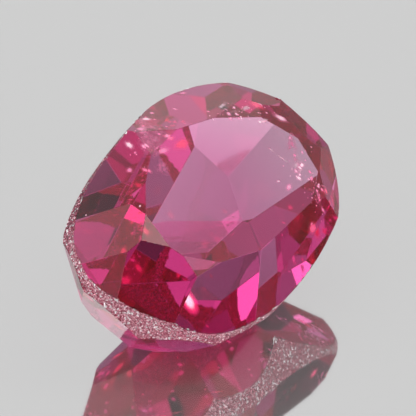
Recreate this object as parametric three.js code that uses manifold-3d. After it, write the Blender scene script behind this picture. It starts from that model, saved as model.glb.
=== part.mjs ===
// A cut ruby: an oval stone about 6 mm long, with flat polished facets above and below a ground girdle.
// It is cut as a lapidary cuts it: a rough blank with the girdle's outline, then one flat facet at a time.
// Lengths are in millimetres and angles in degrees. The stone is made table up, with its long axis
// along X and its girdle at z = 0, and is then laid down on the facet that it rests on.

import * as THREE from 'three';
import { mergeVertices } from 'three/addons/utils/BufferGeometryUtils.js';
import Module from 'manifold-3d';

const manifold = await Module();
manifold.setup();

// The girdle's outline is an ellipse with a few low waves, because the stone was shaped by hand.
const girdleHalfLength = 2.975;
const girdleHalfWidth = 1.98;
const girdleSides = 96;
const outlineWaves = [
  { order: 1, cosine: 0.033, sine: -0.029 },
  { order: 3, cosine: -0.009, sine: 0.02 },
  { order: 4, cosine: -0.02, sine: -0.021 },
];

// The blank is taller than the stone both ways, so every face of it but the girdle is cut away.
const blankTop = 1.2;
const blankDepth = 2.4;

// A facet faces the direction azimuth, round from the +X end. Slope is its tilt from the girdle's
// plane, and distance is how far its plane lies from the middle of the girdle.
const table = { azimuth: 0, slope: 0, distance: 0.74 };

const crownMains = [
  { azimuth: 2, slope: 32, distance: 1.81 },
  { azimuth: 39, slope: 34, distance: 1.69 },
  { azimuth: 71, slope: 35, distance: 1.35 },
  { azimuth: 119, slope: 30, distance: 1.29 },
  { azimuth: 141, slope: 27, distance: 1.34 },
  { azimuth: 173.5, slope: 29.5, distance: 1.56 },
  { azimuth: 195, slope: 24, distance: 1.325 },
  { azimuth: 250, slope: 34, distance: 1.285 },
  { azimuth: 271, slope: 40, distance: 1.335 },
  { azimuth: 316, slope: 39, distance: 1.85 },
];

const crownStars = [
  { azimuth: 20, slope: 20, distance: 1.36 },
  { azimuth: 56, slope: 20, distance: 1.19 },
  { azimuth: 92, slope: 20, distance: 1.12 },
  { azimuth: 128, slope: 22, distance: 1.19 },
  { azimuth: 170, slope: 12, distance: 1.05 },
  { azimuth: 225, slope: 12, distance: 1.01 },
  { azimuth: 298, slope: 20, distance: 1.27 },
  { azimuth: 342, slope: 20, distance: 1.42 },
];

// The pavilion is bulging and uneven: steep facets under the girdle, a middle tier, then a shallow bottom.
const pavilionBreaks = [
  { azimuth: 80, slope: 68, distance: 1.94 },
  { azimuth: 189, slope: 59, distance: 2.47 },
  { azimuth: 229, slope: 67, distance: 2.28 },
  { azimuth: 259, slope: 69.5, distance: 2.035 },
  { azimuth: 300, slope: 59.5, distance: 1.97 },
];

const pavilionMiddles = [
  { azimuth: 33.5, slope: 50.5, distance: 2.16 },
  { azimuth: 103, slope: 48, distance: 1.455 },
  { azimuth: 152, slope: 60, distance: 2.42 },
  { azimuth: 349, slope: 48, distance: 2.25 },
];

const pavilionMains = [
  { azimuth: 101, slope: 22, distance: 1.635 },
  { azimuth: 128, slope: 46.5, distance: 1.895 },
  { azimuth: 185, slope: 16.5, distance: 1.91 },
];

// The stone lies on this pavilion facet. Heading then turns it about the upright.
const restingFacet = { azimuth: 264, slope: 34.8, distance: 1.935 };
const heading = 57.4;

// A cutting block is a cube big enough to take away everything beyond a facet.
const cuttingBlock = 16;

function radians(degrees) {
  return THREE.MathUtils.degToRad(degrees);
}

function girdlePoint(angle) {
  let swell = 1;
  for (const wave of outlineWaves) {
    swell += wave.cosine * Math.cos(wave.order * angle);
    swell += wave.sine * Math.sin(wave.order * angle);
  }
  const x = girdleHalfLength * swell * Math.cos(angle);
  const y = girdleHalfWidth * swell * Math.sin(angle);
  return new THREE.Vector2(x, y);
}

function toSolid(geometry) {
  const bare = geometry.clone();
  bare.deleteAttribute('normal');
  bare.deleteAttribute('uv');
  const merged = mergeVertices(bare, 1e-5);
  const mesh = new manifold.Mesh({
    numProp: 3,
    vertProperties: new Float32Array(merged.attributes.position.array),
    triVerts: new Uint32Array(merged.index.array),
  });
  return new manifold.Manifold(mesh);
}

function toGeometry(solid) {
  const mesh = solid.getMesh();
  const geometry = new THREE.BufferGeometry();
  geometry.setAttribute('position', new THREE.BufferAttribute(mesh.vertProperties, 3));
  geometry.setIndex(new THREE.BufferAttribute(mesh.triVerts, 1));
  geometry.computeVertexNormals();
  return geometry;
}

function makeBlank() {
  const outline = [];
  for (let side = 0; side < girdleSides; side += 1) {
    outline.push(girdlePoint((2 * Math.PI * side) / girdleSides));
  }
  const blank = new THREE.ExtrudeGeometry(new THREE.Shape(outline), {
    depth: blankTop + blankDepth,
    bevelEnabled: false,
  });
  blank.translate(0, 0, -blankDepth);
  return toSolid(blank);
}

// The direction that a facet faces: up on the crown, down on the pavilion.
function facing(facet, side) {
  const azimuth = radians(facet.azimuth);
  const slope = radians(facet.slope);
  const outward = Math.sin(slope);
  const upright = side === 'crown' ? Math.cos(slope) : -Math.cos(slope);
  return new THREE.Vector3(outward * Math.cos(azimuth), outward * Math.sin(azimuth), upright);
}

function cutFacet(stone, facet, side) {
  const normal = facing(facet, side);
  const block = new THREE.BoxGeometry(cuttingBlock, cuttingBlock, cuttingBlock);
  const turn = new THREE.Quaternion().setFromUnitVectors(new THREE.Vector3(0, 0, 1), normal);
  block.applyQuaternion(turn);
  const reach = facet.distance + cuttingBlock / 2;
  block.translate(normal.x * reach, normal.y * reach, normal.z * reach);
  return stone.subtract(toSolid(block));
}

function cutStone() {
  let stone = makeBlank();
  for (const facet of [table, ...crownMains, ...crownStars]) {
    stone = cutFacet(stone, facet, 'crown');
  }
  for (const facet of [restingFacet, ...pavilionBreaks, ...pavilionMiddles, ...pavilionMains]) {
    stone = cutFacet(stone, facet, 'pavilion');
  }
  return stone;
}

// Lay the stone on its resting facet, with the middle of its footprint's box at the origin.
function layDown(geometry) {
  const down = new THREE.Vector3(0, 0, -1);
  const tip = new THREE.Quaternion().setFromUnitVectors(facing(restingFacet, 'pavilion'), down);
  geometry.applyQuaternion(tip);
  geometry.rotateZ(radians(heading));
  geometry.computeBoundingBox();
  const box = geometry.boundingBox;
  geometry.translate(-(box.min.x + box.max.x) / 2, -(box.min.y + box.max.y) / 2, -box.min.z);
  return geometry;
}

function makeRuby() {
  const material = new THREE.MeshStandardMaterial({ color: 0xb4305f, roughness: 0.03, metalness: 0 });
  const ruby = new THREE.Mesh(layDown(toGeometry(cutStone())), material);
  ruby.name = 'ruby';
  return ruby;
}

const stoneOnFloor = new THREE.Group();
stoneOnFloor.add(makeRuby());

export default stoneOnFloor;
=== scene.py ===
import math

import bmesh
import bpy
import numpy as np
from mathutils import Matrix, Vector, noise
from mathutils.bvhtree import BVHTree


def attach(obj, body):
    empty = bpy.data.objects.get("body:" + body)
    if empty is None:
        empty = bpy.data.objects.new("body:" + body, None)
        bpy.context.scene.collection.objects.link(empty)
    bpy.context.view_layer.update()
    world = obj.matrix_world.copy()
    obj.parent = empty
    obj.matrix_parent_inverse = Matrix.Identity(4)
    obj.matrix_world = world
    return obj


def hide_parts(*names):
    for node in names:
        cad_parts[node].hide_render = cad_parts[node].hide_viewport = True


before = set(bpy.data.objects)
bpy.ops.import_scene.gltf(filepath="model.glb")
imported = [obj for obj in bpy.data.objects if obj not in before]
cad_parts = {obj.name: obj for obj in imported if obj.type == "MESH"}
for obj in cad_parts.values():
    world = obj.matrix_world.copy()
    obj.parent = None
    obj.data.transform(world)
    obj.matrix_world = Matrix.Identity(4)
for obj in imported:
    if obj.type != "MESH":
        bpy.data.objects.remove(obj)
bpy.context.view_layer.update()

# Sizes below are in mm and angles in degrees, and mm turns a size into metres.
mm = 0.001

# Where the middle of the girdle lies, and which way the table faces.
gem = {
    "heart": (-0.066, -0.055, 1.935),
    "table": (0.4462, -0.3559, 0.8211),
}
heart = Vector(gem["heart"])
tableAxis = Vector(gem["table"])

# The photo is 416 pixels square at 0.0168 mm a pixel. The girdle's middle is at heartPixel in it.
shot = {
    "elevation": 32.867,
    "away": 150,
    "pixel": 0.0168,
    "frame": 416,
    "heartPixel": (198.37, 214.51),
    "sensor": 36,
    "nearest": 10,
    "farthest": 2000,
}

# The direction from the stone to the camera, and the photo's upward direction.
shotLift = math.radians(shot["elevation"])
toCamera = Vector((0, -math.cos(shotLift), math.sin(shotLift)))
shotUp = Vector((0, math.sin(shotLift), math.cos(shotLift)))


# The point that a pixel of the photo shows in the upright plane through the stone's heart.
def onPhoto(across, down):
    right = (across - shot["heartPixel"][0]) * shot["pixel"]
    rise = (shot["heartPixel"][1] - down) * shot["pixel"]
    return heart + Vector((right, 0, 0)) + rise * shotUp


cameraSpot = onPhoto(shot["frame"] / 2, shot["frame"] / 2) + shot["away"] * toCamera


# The line of sight through a pixel of the photo.
def sightLine(across, down):
    return (onPhoto(across, down) - cameraSpot).normalized()


# Shader helpers.


# An output socket whose arithmetic adds Math or Vector Math nodes.
class Socket:
    def __init__(self, shade, out):
        self.shade = shade
        self.out = out

    def join(self, other, operation, swap=False):
        first, second = (other, self) if swap else (self, other)
        types = [side.out.type for side in (first, second) if isinstance(side, Socket)]
        kind = "ShaderNodeVectorMath" if "VECTOR" in types else "ShaderNodeMath"
        return self.shade.node(kind, {"operation": operation}, [first, second])

    def __add__(self, other):
        return self.join(other, "ADD")

    def __radd__(self, other):
        return self.join(other, "ADD", True)

    def __mul__(self, other):
        return self.join(other, "MULTIPLY")

    def __rmul__(self, other):
        return self.join(other, "MULTIPLY", True)


# One material's node tree.
class Shade:
    def __init__(self, name):
        self.material = bpy.data.materials.new(name)
        self.material.use_nodes = True
        self.tree = self.material.node_tree
        self.tree.nodes.clear()
        self.output = self.tree.nodes.new("ShaderNodeOutputMaterial")

    # Settings are set first. A socket's value or link goes by its place or its name.
    def node(self, kind, settings=None, inputs=None, pick=0):
        made = self.tree.nodes.new(kind)
        for key, value in (settings or {}).items():
            setattr(made, key, value)
        pairs = inputs.items() if isinstance(inputs, dict) else enumerate(inputs or [])
        for key, value in pairs:
            self.feed(made.inputs[key], value)
        return Socket(self, made.outputs[pick])

    def feed(self, target, value):
        if isinstance(value, Socket):
            self.tree.links.new(value.out, target)
            return
        if target.type == "VECTOR" and isinstance(value, (int, float)):
            value = (value,) * 3
        target.default_value = value

    def position(self):
        return self.node("ShaderNodeTexCoord", pick="Object")

    # An attribute that the mesh holds.
    def mask(self, name):
        return self.node("ShaderNodeAttribute", {"attribute_name": name}, pick="Fac")

    def noise(self, place, scale, detail):
        return self.node(
            "ShaderNodeTexNoise", {}, {"Vector": place, "Scale": scale, "Detail": detail}, "Fac"
        )

    def ramp(self, value, start, end, low=0.0, high=1.0):
        return self.node(
            "ShaderNodeMapRange",
            {"interpolation_type": "SMOOTHSTEP"},
            {"Value": value, "From Min": start, "From Max": end, "To Min": low, "To Max": high},
        )

    # A Mix node has sockets for every type of value: those of colours are inputs 6 and 7, output 2.
    def mix(self, share, first, second):
        return self.node(
            "ShaderNodeMix", {"data_type": "RGBA"}, {0: share, 6: first, 7: second}, 2
        )

    def finish(self, surface, volume=None):
        self.feed(self.output.inputs["Surface"], surface)
        if volume is not None:
            self.feed(self.output.inputs["Volume"], volume)
        return self.material


def makeObject(name, data, material, smooth=False):
    data.materials.append(material)
    made = bpy.data.objects.new(name, data)
    bpy.context.scene.collection.objects.link(made)
    for face in data.polygons:
        face.use_smooth = smooth
    return made


# Materials.

# The absorption per metre is density times (1 - colour): 40 of red, 450 of green and 197 of blue.
# The frosting has grains and paler specks, each with a noise's scale per metre and the limits
# between which it fades in.
ruby = {
    "ior": 1.765,
    "clear": (1, 1, 1, 1),
    "absorbColor": (0.915, 0.043, 0.58, 1),
    "absorbDensity": 470,
    "groundRoughness": 0.18,
    "grainScale": 30000,
    "grainDetail": 2,
    "grainLimits": (0.42, 0.58),
    "speckScale": 22000,
    "speckDetail": 1,
    "speckLimits": (0.57, 0.63),
    "speckShift": 0.01,
    "frostLeast": 0.5,
    "frostMost": 0.85,
    "groundPale": (1.0, 0.95, 0.97, 1),
    "groundDusky": (0.95, 0.55, 0.62, 1),
    "groundDeep": (0.5, 0.14, 0.2, 1),
    "lowerRoughness": 0.03,
}


# One material for the whole stone, so that the light's way inside it is lit and dimmed as one body.
# The ground girdle is frosted with paler grains; the hidden lower facets are a little less polished.
def rubyMaterial():
    shade = Shade("ruby")
    ground = shade.mask("ground")
    lower = shade.mask("lower")
    grains = shade.noise(shade.position(), ruby["grainScale"], ruby["grainDetail"])
    grain = shade.ramp(grains, *ruby["grainLimits"])
    aside = shade.position() + ruby["speckShift"]
    specks = shade.noise(aside, ruby["speckScale"], ruby["speckDetail"])
    speck = shade.ramp(specks, *ruby["speckLimits"])
    groundColor = shade.mix(grain, ruby["groundDeep"], ruby["groundDusky"])
    groundColor = shade.mix(speck, groundColor, ruby["groundPale"])
    frost = ruby["frostLeast"] + (ruby["frostMost"] - ruby["frostLeast"]) * grain
    body = shade.node("ShaderNodeBsdfPrincipled", {}, {
        "Base Color": shade.mix(ground, ruby["clear"], groundColor),
        "Roughness": ruby["groundRoughness"] * ground + ruby["lowerRoughness"] * lower,
        "Metallic": ground * shade.ramp(speck, 0, 1, frost, 1),
        "IOR": ruby["ior"],
        "Transmission Weight": 1,
    })
    absorb = shade.node("ShaderNodeVolumeAbsorption", {}, {
        "Color": ruby["absorbColor"],
        "Density": ruby["absorbDensity"],
    })
    return shade.finish(body, absorb)


# The stone.

# The parts of the stone: a face's material index holds its part's number while the mesh is made.
parts = {"upper": 0, "ground": 1, "lower": 2}

# Points closer than same are one, and faces within level of each other are one facet. Facet edges
# shorter than shortest are closed up, and those sharper than sharp are rounded by edge or girdleEdge.
wear = {
    "same": 0.0002,
    "level": 0.4,
    "shortest": 0.03,
    "sharp": 5,
    "edge": 0.008,
    "girdleEdge": 0.018,
    "segments": 2,
}

# The ground girdle faces sideways: the sine of its lean towards the table or away is below flat.
# Pits and grains sink into it. Chips and nicks eat into the polished facets beside it, and a little
# drift takes the regular look from its points.
girdle = {
    "flat": 0.05,
    "meshSize": 0.03,
    "nearest": 0.002,
    "rounds": 5,
    "pitDepth": 0.02,
    "pitSize": 0.1,
    "pitSeed": 1,
    "grainDepth": 0.018,
    "grainSize": 0.04,
    "grainSeed": 3,
    "chipReach": 0.03,
    "chipSize": 0.09,
    "chipSeed": 5,
    "chipLeast": 0.05,
    "nickShare": 0.35,
    "nickSeed": 9,
    "driftSize": 0.02,
    "driftShare": 0.3,
    "driftSeeds": (6, 7, 8),
    "seedSteps": (1, 2.7, -1),
    "sameFacet": 0.9999,
}


def isGround(face):
    return abs(face.normal.dot(tableAxis)) < girdle["flat"]


def groundFaces(mesh):
    return [face for face in mesh.faces if face.material_index == parts["ground"]]


# Always in the same order, which a set wouldn't keep.
def groundVerts(mesh):
    return list(dict.fromkeys(vert for face in groundFaces(mesh) for vert in face.verts))


# Rounds worn edges a little: those of the girdle more than those between polished facets.
def softenEdges(mesh):
    weights = mesh.edges.layers.float.new("bevel_weight_edge")
    bmesh.ops.remove_doubles(mesh, verts=mesh.verts, dist=wear["shortest"])
    mesh.normal_update()
    sharp = [
        edge for edge in mesh.edges
        if len(edge.link_faces) == 2 and edge.calc_face_angle() > math.radians(wear["sharp"])
    ]
    rim = [edge for edge in sharp if any(isGround(face) for face in edge.link_faces)]
    facets = [edge for edge in sharp if not any(isGround(face) for face in edge.link_faces)]
    for edge in rim:
        edge[weights] = 1
    for edge in facets:
        edge[weights] = wear["edge"] / wear["girdleEdge"]
    bmesh.ops.bevel(
        mesh, geom=rim + facets, offset=wear["girdleEdge"], offset_type="OFFSET",
        segments=wear["segments"], profile=0.5, affect="EDGES", clamp_overlap=True,
    )


# The solid's facets with worn edges, each face marked with its part.
def facetMesh():
    mesh = bmesh.new()
    mesh.from_mesh(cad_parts["ruby"].data)
    bmesh.ops.scale(mesh, vec=(1 / mm,) * 3, verts=mesh.verts)
    bmesh.ops.remove_doubles(mesh, verts=mesh.verts, dist=wear["same"])
    bmesh.ops.dissolve_limit(
        mesh, angle_limit=math.radians(wear["level"]), verts=mesh.verts, edges=mesh.edges
    )
    softenEdges(mesh)
    mesh.normal_update()
    for face in mesh.faces:
        isLower = face.normal.dot(tableAxis) < 0
        face.material_index = parts["lower"] if isLower else parts["upper"]
    for face in [face for face in mesh.faces if isGround(face)]:
        face.material_index = parts["ground"]
        for edge in face.edges:
            for beside in edge.link_faces:
                beside.material_index = parts["ground"]
    return mesh


def evenGirdle(mesh):
    bmesh.ops.triangulate(mesh, faces=groundFaces(mesh))
    bmesh.ops.remove_doubles(mesh, verts=groundVerts(mesh), dist=girdle["nearest"])


# Splits the girdle's faces until their edges are short, and joins points that come too close.
def refineGirdle(mesh):
    for _ in range(girdle["rounds"]):
        evenGirdle(mesh)
        edges = dict.fromkeys(edge for face in groundFaces(mesh) for edge in face.edges)
        long = [edge for edge in edges if edge.calc_length() > girdle["meshSize"]]
        bmesh.ops.subdivide_edges(mesh, edges=long, cuts=1)
    evenGirdle(mesh)
    mesh.normal_update()


# Smooth noise, mostly between -0.5 and 0.5. Each seed takes it from another place.
def roughness(spot, size, seed):
    return noise.noise(spot / size + Vector([step * seed for step in girdle["seedSteps"]]))


def chipAt(spot):
    chip = roughness(spot, girdle["chipSize"], girdle["chipSeed"]) - girdle["chipLeast"]
    nick = abs(roughness(spot, girdle["grainSize"], girdle["nickSeed"]))
    return 2 * max(0.0, chip) + girdle["nickShare"] * nick


def sinkAt(spot):
    pit = 2 * max(0.0, roughness(spot, girdle["pitSize"], girdle["pitSeed"]))
    grain = 0.5 + roughness(spot, girdle["grainSize"], girdle["grainSeed"])
    return girdle["pitDepth"] * pit + girdle["grainDepth"] * grain


def driftAt(spot):
    drift = Vector([roughness(spot, girdle["driftSize"], seed) for seed in girdle["driftSeeds"]])
    return drift * girdle["driftShare"] * girdle["meshSize"]


# Which way a point on the girdle's border may slide and stay on its polished facets.
def slideAlong(polished, outward):
    normals = []
    for face in polished:
        if all(face.normal.dot(normal) < girdle["sameFacet"] for normal in normals):
            normals.append(face.normal)
    if len(normals) == 1:
        way = outward - normals[0] * outward.dot(normals[0])
    elif len(normals) == 2:
        way = normals[0].cross(normals[1])
    else:
        return None
    way.normalize()
    return -way if way.dot(outward) > 0 else way


def roughenGirdle(mesh):
    moves = []
    for vert in groundVerts(mesh):
        spot = vert.co
        radial = spot - heart
        outward = (radial - tableAxis * radial.dot(tableAxis)).normalized()
        polished = [face for face in vert.link_faces if face.material_index != parts["ground"]]
        if polished:
            way = slideAlong(polished, outward)
            if way is not None:
                moves.append((vert, way * girdle["chipReach"] * chipAt(spot)))
        else:
            moves.append((vert, -outward * sinkAt(spot) + driftAt(spot)))
    for vert, move in moves:
        vert.co += move


def makeStone():
    mesh = facetMesh()
    refineGirdle(mesh)
    roughenGirdle(mesh)
    bmesh.ops.scale(mesh, vec=(mm,) * 3, verts=mesh.verts)
    data = bpy.data.meshes.new("rubyStone")
    mesh.to_mesh(data)
    mesh.free()
    stone = makeObject("rubyStone", data, rubyMaterial())
    for name in ("ground", "lower"):
        mask = data.attributes.new(name, "FLOAT", "FACE")
        values = [float(face.material_index == parts[name]) for face in data.polygons]
        mask.data.foreach_set("value", values)
    data.polygons.foreach_set("material_index", [0] * len(data.polygons))
    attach(stone, "root")
    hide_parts("ruby")
    print("stone:", len(data.polygons), "faces")
    return stone


# Inclusions and painted glints, all with a painted glow.

# Each lies under a pixel of the photo, at a depth below the surface along the bent line of sight.
# Tone runs from 0, deep pink, to 1, nearly white, in tint and in painted glow.
# Cover is the least stone over an inclusion.
inclusion = {
    "deep": (0.9, 0.05, 0.16, 1),
    "middle": (0.86, 0.24, 0.46, 1),
    "pale": (1.0, 0.84, 0.9, 1),
    "roughness": 0.3,
    "cover": 0.006,
}

# Healed cracks that look like thin, uneven veils, lit by a painted glow. Lean is how far each turns
# from the camera to the surface above it. Bulges, wave, mottle and toneDrift hold the scale and
# strength of a noise: the first two run over the sheet, the others in patches through the stone.
glowingVeils = {
    "glow": 0.36,
    "alpha": 0.85,
    "lean": 0.4,
    "columns": 40,
    "rows": 24,
    "outline": 0.8,
    "bulges": [(1.7, 0.4), (6, 0.2)],
    "wave": (2.2, 0.06),
    "waveSeed": 10,
    "patchSize": 0.16,
    "mottle": (3.3, 0.6),
    "toneDrift": (2, 0.25),
    # across, down, depth, half length, half width, turn, tone, seed
    "sheets": [
        (298, 166, 0.3, 0.34, 0.24, 80, 0.75, 1),
        (292, 146, 0.35, 0.3, 0.16, 30, 0.45, 2),
        (279, 156, 0.2, 0.45, 0.04, 95, 0.8, 3),
        # This sheet and the next two paint the pale glow of the table's worn upper edge, not healed
        # cracks.
        (246, 108, 0.05, 0.5, 0.07, 165, 0.8, 4),
        (224, 104, 0.05, 0.3, 0.07, 15, 0.9, 5),
        (266, 121, 0.05, 0.26, 0.06, 150, 0.8, 6),
        (148, 130, 0.5, 0.6, 0.3, 60, 0.5, 7),
        (160, 165, 0.6, 0.36, 0.2, 70, 0.4, 8),
        (318, 198, 0.2, 0.36, 0.1, 75, 0.5, 9),
    ],
}


# The way that light goes on when it crosses a surface, for the ratio of the two refractive indices.
def refract(way, normal, ratio):
    cosine = -way.dot(normal)
    return ratio * way + (ratio * cosine - math.sqrt(1 - ratio**2 * (1 - cosine**2))) * normal


# Finds places inside the stone from pixels of the photo.
class Depths:
    def __init__(self, stone):
        mesh = bmesh.new()
        mesh.from_mesh(stone.data)
        bmesh.ops.scale(mesh, vec=(1 / mm,) * 3, verts=mesh.verts)
        self.tree = BVHTree.FromBMesh(mesh)
        mesh.free()
        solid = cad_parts["ruby"].data
        self.normals = np.array([face.normal for face in solid.polygons])
        self.reaches = np.array([face.normal.dot(face.center) / mm for face in solid.polygons])
        ground = np.abs(self.normals @ np.array(tableAxis)) < girdle["flat"]
        self.reaches -= inclusion["cover"] + ground * (girdle["pitDepth"] + girdle["grainDepth"])

    # The place at a depth under a pixel, and the normal of the surface above it.
    def below(self, across, down, depth):
        sight = sightLine(across, down)
        spot, normal, _, _ = self.tree.ray_cast(cameraSpot, sight)
        if spot is None:
            return None, None
        return spot + depth * refract(sight, normal, 1 / ruby["ior"]), normal

    # Takes away what would stand out of the stone.
    def trim(self, mesh):
        gone = [
            vert for vert in mesh.verts
            if np.max(self.normals @ np.array(vert.co) - self.reaches) > 0
        ]
        bmesh.ops.delete(mesh, geom=gone, context="VERTS")


# A soft, pale material with a painted glow, though it is no lamp: the attribute tone gives its colour
# and fade how much of it shows.
def paintedGlowMaterial(name, glow, alpha):
    shade = Shade(name)
    tone = shade.mask("tone")
    fade = shade.mask("fade")
    reds = shade.mix(shade.ramp(tone, 0, 0.5), inclusion["deep"], inclusion["middle"])
    color = shade.mix(shade.ramp(tone, 0.5, 1), reds, inclusion["pale"])
    return shade.finish(shade.node("ShaderNodeBsdfPrincipled", {}, {
        "Base Color": color,
        "Roughness": inclusion["roughness"],
        "Alpha": alpha * shade.ramp(fade, 0, 1),
        "Emission Color": color,
        "Emission Strength": glow,
    }))


# An empty mesh whose points carry tone and fade.
def glowMesh():
    mesh = bmesh.new()
    return mesh, mesh.verts.layers.float.new("tone"), mesh.verts.layers.float.new("fade")


# Turns a mesh into a piece that rides with the stone.
def dress(name, mesh, material):
    bmesh.ops.scale(mesh, vec=(mm,) * 3, verts=mesh.verts)
    data = bpy.data.meshes.new(name)
    mesh.to_mesh(data)
    mesh.free()
    made = makeObject(name, data, material)
    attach(made, "root")
    print(name + ":", len(data.polygons), "faces")
    return made


# Two directions across a flat thing that faces a given way and is turned round it.
def flatAxes(face, turn):
    side = Matrix.Rotation(math.radians(turn), 3, face) @ face.orthogonal().normalized()
    return side, face.cross(side)


def ripple(x, y, scale, seed):
    return noise.noise(Vector((scale * x, scale * y, seed)))


# How much of a veil shows at a place in the stone, and how pale it is there.
def patchAt(spot, tone, seed):
    place = spot / glowingVeils["patchSize"]
    fine, share = glowingVeils["mottle"]
    patch = 0.5 + noise.noise(place + Vector((seed, 0, 0))) + share * noise.noise(place * fine)
    scale, drift = glowingVeils["toneDrift"]
    return min(1.0, max(0.0, patch)), tone + drift * noise.noise(place * scale)


def addSheet(mesh, toneLayer, fadeLayer, depths, sheet):
    across, down, depth, long, wide, turn, tone, seed = sheet
    middle, normal = depths.below(across, down, depth)
    face = toCamera.lerp(normal, glowingVeils["lean"]).normalized()
    side, other = flatAxes(face, turn)
    made = bmesh.ops.create_grid(
        mesh, x_segments=glowingVeils["columns"], y_segments=glowingVeils["rows"], size=1
    )["verts"]
    waveScale, waveHeight = glowingVeils["wave"]
    gone = []
    for vert in made:
        x, y = vert.co.x, vert.co.y
        edge = glowingVeils["outline"]
        for scale, reach in glowingVeils["bulges"]:
            edge += reach * ripple(x, y, scale, seed)
        out = math.hypot(x, y) / edge
        if out > 1:
            gone.append(vert)
        wave = waveHeight * ripple(x, y, waveScale, seed + glowingVeils["waveSeed"])
        spot = middle + side * x * long + other * y * wide
        patch, vert[toneLayer] = patchAt(spot, tone, seed)
        vert[fadeLayer] = max(0.0, 1 - out**2) * patch
        vert.co = spot + face * wave
    bmesh.ops.delete(mesh, geom=gone, context="VERTS")


def makeGlowingVeils(depths):
    mesh, toneLayer, fadeLayer = glowMesh()
    for sheet in glowingVeils["sheets"]:
        addSheet(mesh, toneLayer, fadeLayer, depths, sheet)
    depths.trim(mesh)
    material = paintedGlowMaterial("glowingFeatherVeil", glowingVeils["glow"], glowingVeils["alpha"])
    return dress("rubyGlowingVeils", mesh, material)


# Small crystals and bright flakes with a painted glow, some placed one by one and some scattered in
# clouds; some flakes are painted highlights and reflections. Reaches are the least and most reach of a
# flake's corners, and its middle rises by peak of its half width.
crystalsAndGlints = {
    "glow": 0.9,
    "alpha": 1.0,
    "sink": 0.02,
    "tilt": 0.2,
    "corners": 12,
    "reaches": (0.85, 1.2),
    "peak": 0.1,
    # share of the reach, fade, share of the tone
    "rings": [
        (0.4, 0.75, 0.9),
        (0.8, 0.3, 0.7),
        (1.4, 0.0, 0.5),
    ],
    "seed": 11,
    # across, down, depth, half length, half width, turn, tone
    "places": [
        (302, 165, 0.2, 0.06, 0.05, 0, 1.0),
        (299, 178, 0.2, 0.06, 0.04, 90, 1.0),
        (289, 187, 0.15, 0.09, 0.06, 20, 0.7),
        (296, 171, 0.2, 0.05, 0.04, 60, 0.8),
        (310, 172, 0.2, 0.05, 0.03, 80, 0.4),
        (326, 191, 0.12, 0.08, 0.07, 0, 0.15),
        (313, 228, 0.25, 0.12, 0.1, 0, 0.2),
        (323, 210, 0.1, 0.07, 0.04, 90, 0.5),
        # The flakes at 146, 119 and 128, 131 are painted highlights.
        (146, 119, 0.12, 0.1, 0.07, 150, 0.95),
        (129, 145, 0.12, 0.1, 0.06, 80, 0.95),
        (128, 131, 0.02, 0.03, 0.03, 0, 1.0),
        (183, 93, 0.1, 0.08, 0.05, 170, 0.45),
        (152, 113, 0.1, 0.05, 0.04, 0, 0.6),
        (175, 109, 0.1, 0.06, 0.03, 100, 0.7),
        (141, 129, 0.15, 0.09, 0.07, 20, 0.6),
        (163, 151, 0.3, 0.15, 0.07, 160, 0.6),
        (145, 170, 0.2, 0.08, 0.04, 95, 0.35),
        (182, 144, 0.3, 0.17, 0.11, 165, 0.05),
        (168, 136, 0.3, 0.1, 0.05, 150, 0.3),
        # A painted red flash and a pale painted reflection off facets, then painted highlights on
        # nicks at facet junctions and the girdle.
        (256, 104, 0.08, 0.15, 0.11, 80, 0.12),
        (281, 118, 0.08, 0.16, 0.1, 110, 0.85),
        (260, 122, 0.03, 0.05, 0.03, 150, 1.0),
        (140, 206, 0.0, 0.025, 0.02, 0, 1.0),
        (86, 215, 0.0, 0.02, 0.015, 0, 1.0),
    ],
    # middle across, middle down, spread across, spread down, least tone, most tone, count, seed
    "clouds": [
        (299, 166, 9, 13, 0.5, 1.0, 26, 3),
        (316, 198, 5, 13, 0.3, 0.9, 26, 6),
        (146, 132, 11, 17, 0.3, 0.8, 30, 4),
        # This cloud paints glints along the table's worn upper edge.
        (242, 110, 17, 5, 0.6, 1.0, 26, 5),
    ],
    # least and most half length and depth, and half width as a share of the half length
    "cloudSizes": (0.012, 0.065),
    "cloudDepths": (0.08, 0.4),
    "cloudWidths": (0.4, 0.9),
}


def crystalAndGlintPlaces():
    yield from crystalsAndGlints["places"]
    small, big = crystalsAndGlints["cloudSizes"]
    slim, full = crystalsAndGlints["cloudWidths"]
    for across, down, wide, high, dull, bright, count, seed in crystalsAndGlints["clouds"]:
        chance = np.random.default_rng(seed)
        for _ in range(count):
            x, y = chance.normal(size=2).tolist()
            share, body, turn = chance.random(3).tolist()
            long = small + (big - small) * share**3
            tone = dull + (bright - dull) * chance.random()
            depth = chance.uniform(*crystalsAndGlints["cloudDepths"])
            where = across + wide * x, down + high * y, depth
            yield *where, long, long * (slim + (full - slim) * body), 180 * turn, tone


# A flake with an uneven outline that fades towards its rim.
def addFlake(mesh, toneLayer, fadeLayer, spot, place, chance):
    long, wide, turn, tone = place
    tilt = Vector(chance.normal(size=3).tolist()) * crystalsAndGlints["tilt"]
    side, other = flatAxes((toCamera + tilt).normalized(), turn)
    corners = crystalsAndGlints["corners"]
    reaches = [chance.uniform(*crystalsAndGlints["reaches"]) for _ in range(corners)]
    rings = []
    for share, fade, toneShare in crystalsAndGlints["rings"]:
        ring = []
        for corner, reach in enumerate(reaches):
            angle = 2 * math.pi * corner / corners
            step = math.cos(angle) * long * side + math.sin(angle) * wide * other
            vert = mesh.verts.new(spot + share * reach * step)
            vert[fadeLayer] = fade
            vert[toneLayer] = toneShare * tone
            ring.append(vert)
        rings.append(ring)
    middle = mesh.verts.new(spot + crystalsAndGlints["peak"] * wide * toCamera)
    middle[fadeLayer] = 1
    middle[toneLayer] = tone
    for corner in range(corners):
        beside = (corner + 1) % corners
        mesh.faces.new((middle, rings[0][corner], rings[0][beside]))
        for inner, outer in zip(rings, rings[1:]):
            mesh.faces.new((inner[corner], outer[corner], outer[beside], inner[beside]))


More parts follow.
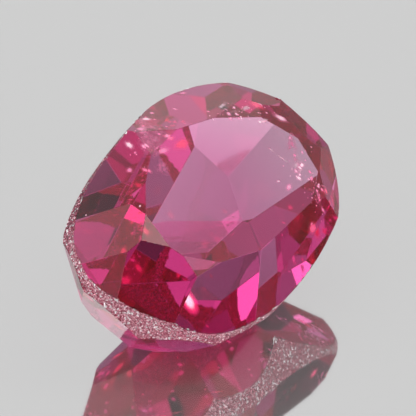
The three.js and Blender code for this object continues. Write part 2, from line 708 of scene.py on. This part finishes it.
def makeCrystalsAndGlints(depths):
    chance = np.random.default_rng(crystalsAndGlints["seed"])
    mesh, toneLayer, fadeLayer = glowMesh()
    for across, down, depth, *place in crystalAndGlintPlaces():
        spot, _ = depths.below(across, down, depth + crystalsAndGlints["sink"])
        if spot is not None:
            addFlake(mesh, toneLayer, fadeLayer, spot, place, chance)
    depths.trim(mesh)
    material = paintedGlowMaterial("crystalAndPaintedGlint", crystalsAndGlints["glow"], crystalsAndGlints["alpha"])
    return dress("rubyCrystalsAndGlints", mesh, material)


# Floor, light and camera.

floor = {
    "color": (0.86, 0.86, 0.86, 1),
    "metal": 0.85,
    "roughness": 0.05,
    "airGap": 0.006,
}

# A tent of soft light with brighter panels and some dark cards, round spots that are full up to the
# core share of their width.
tent = {
    "radius": 400,
    "columns": 48,
    "rows": 24,
    "glow": 0.4,
    "leastGlow": 0.02,
    "core": 0.4,
    # azimuth clockwise from straight behind the stone, elevation, half width, glow added or taken
    "panels": [
        (270, 60, 38, 0.35),
        (330, 50, 16, 0.8),
        (312, 70, 14, 0.9),
        (0, 32, 18, 0.32),
        (30, 30, 15, 0.5),
        (96, 46, 30, 0.45),
        (93, 62, 16, 1.3),
        (150, 12, 32, 0.55),
        (195, 30, 20, 0.4),
        (180, 88, 13, 0.4),
        (5, 21, 9, 0.4),
        (260, 15, 32, 0.5),
        (0, 5, 16, 0.9),
        (24, 55, 12, 0.8),
        (156, 45, 16, 0.6),
        (236, 41, 12, 2.0),
        (138, 42, 18, -0.4),
        (345, 70, 12, -0.35),
        (338, 14, 22, -0.7),
        (312, 33, 14, -0.9),
        (102, 1, 12, -0.3),
        (74, 9, 11, -0.35),
        (16, 10, 12, -0.2),
        (48, 35, 16, -0.35),
        (12, 45, 12, -0.55),
        (300, 65, 12, -0.9),
        (144, 5, 12, -0.5),
    ],
}

# A small bright lamp that the stone's front facet mirrors under this pixel. The ramps hold shares of
# the way from its middle to its rim: where the core turns to halo, and where the halo fades in.
lamp = {
    "pixel": (189, 301),
    "away": 60,
    "halfSize": (0.2, 0.42),
    "segments": 32,
    "core": (1.0, 0.7, 0.9, 1),
    "halo": (0.8, 0.03, 0.16, 1),
    "black": (0, 0, 0, 1),
    "coreRamp": (0.2, 0.6),
    "rimRamp": (1.0, 0.55),
    "glow": 12,
}

# How many surfaces a path of light may meet: in all, of the clear stone, of mirrors and of veils.
bounces = {
    "most": 40,
    "stone": 40,
    "mirror": 16,
    "veil": 12,
}


def makeFloor():
    shade = Shade("paleFloor")
    surface = shade.node("ShaderNodeBsdfPrincipled", {}, {
        "Base Color": floor["color"],
        "Metallic": floor["metal"],
        "Roughness": floor["roughness"],
    })
    reach = tent["radius"] * mm
    under = -floor["airGap"] * mm
    corners = [(x * reach, y * reach, under) for x, y in ((-1, -1), (1, -1), (1, 1), (-1, 1))]
    data = bpy.data.meshes.new("floor")
    data.from_pydata(corners, [], [(0, 1, 2, 3)])
    makeObject("floor", data, shade.finish(surface))
    print("floor:", 2 * reach, "m wide")


# The direction at an azimuth clockwise from straight behind the stone and an elevation.
def wayTo(azimuth, elevation):
    turn, lift = math.radians(azimuth), math.radians(elevation)
    return Vector((math.cos(lift) * math.sin(turn), math.cos(lift) * math.cos(turn), math.sin(lift)))


def tentMaterial():
    shade = Shade("tentLight")
    way = shade.position() * (1 / (tent["radius"] * mm))
    light = tent["glow"]
    for azimuth, elevation, width, glow in tent["panels"]:
        middle = wayTo(azimuth, elevation)
        near = shade.node("ShaderNodeVectorMath", {"operation": "DOT_PRODUCT"}, [way, middle], "Value")
        rim = math.cos(math.radians(width))
        core = math.cos(math.radians(width * tent["core"]))
        light = light + glow * shade.ramp(near, rim, core)
    light = shade.node("ShaderNodeMath", {"operation": "MAXIMUM"}, [light, tent["leastGlow"]])
    gray = shade.node("ShaderNodeCombineColor", {}, [light, light, light])
    return shade.finish(shade.node("ShaderNodeEmission", {}, {"Color": gray}))


def makeTent():
    mesh = bmesh.new()
    bmesh.ops.create_uvsphere(
        mesh, u_segments=tent["columns"], v_segments=tent["rows"], radius=tent["radius"] * mm
    )
    data = bpy.data.meshes.new("tent")
    mesh.to_mesh(data)
    mesh.free()
    makeObject("tent", data, tentMaterial(), smooth=True)
    print("tent:", len(tent["panels"]), "panels and cards")


def lampMaterial():
    shade = Shade("lampGlow")
    place = shade.position() * (1 / mm)
    away = shade.node("ShaderNodeVectorMath", {"operation": "LENGTH"}, [place], "Value")
    color = shade.mix(shade.ramp(away, *lamp["coreRamp"]), lamp["core"], lamp["halo"])
    return shade.finish(shade.node("ShaderNodeBsdfPrincipled", {}, {
        "Base Color": lamp["black"],
        "Emission Color": color,
        "Emission Strength": lamp["glow"],
        "Alpha": shade.ramp(away, *lamp["rimRamp"]),
    }))


# A disc of 1 mm radius, stretched to the lamp's size and turned towards the facet.
def makeLamp(depths):
    spot, normal = depths.below(*lamp["pixel"], 0)
    sight = sightLine(*lamp["pixel"])
    back = 2 * sight.dot(normal) * normal - sight
    mesh = bmesh.new()
    bmesh.ops.create_circle(mesh, cap_ends=True, segments=lamp["segments"], radius=mm)
    data = bpy.data.meshes.new("lamp")
    mesh.to_mesh(data)
    mesh.free()
    made = makeObject("lamp", data, lampMaterial())
    made.location = (spot - lamp["away"] * back) * mm
    made.rotation_mode = "QUATERNION"
    made.rotation_quaternion = back.to_track_quat("Z", "Y")
    made.scale = (*lamp["halfSize"], 1)
    print("lamp:", lamp["away"], "mm from the stone")


def makeStudio(depths):
    makeFloor()
    makeLamp(depths)
    makeTent()
    scene = bpy.context.scene
    scene.view_settings.view_transform = "Standard"
    scene.cycles.max_bounces = bounces["most"]
    scene.cycles.transmission_bounces = bounces["stone"]
    scene.cycles.glossy_bounces = bounces["mirror"]
    scene.cycles.transparent_max_bounces = bounces["veil"]


def makeCamera():
    data = bpy.data.cameras.new("camera")
    data.sensor_width = shot["sensor"]
    data.lens = shot["sensor"] * shot["away"] / (shot["frame"] * shot["pixel"])
    data.clip_start = shot["nearest"] * mm
    data.clip_end = shot["farthest"] * mm
    camera = bpy.data.objects.new("camera", data)
    bpy.context.scene.collection.objects.link(camera)
    camera.location = cameraSpot * mm
    camera.rotation_mode = "QUATERNION"
    camera.rotation_quaternion = (-toCamera).to_track_quat("-Z", "Y")
    bpy.context.scene.camera = camera
    print("camera:", shot["away"], "mm from the stone")


stone = makeStone()
depths = Depths(stone)
makeGlowingVeils(depths)
makeCrystalsAndGlints(depths)
makeStudio(depths)
makeCamera()
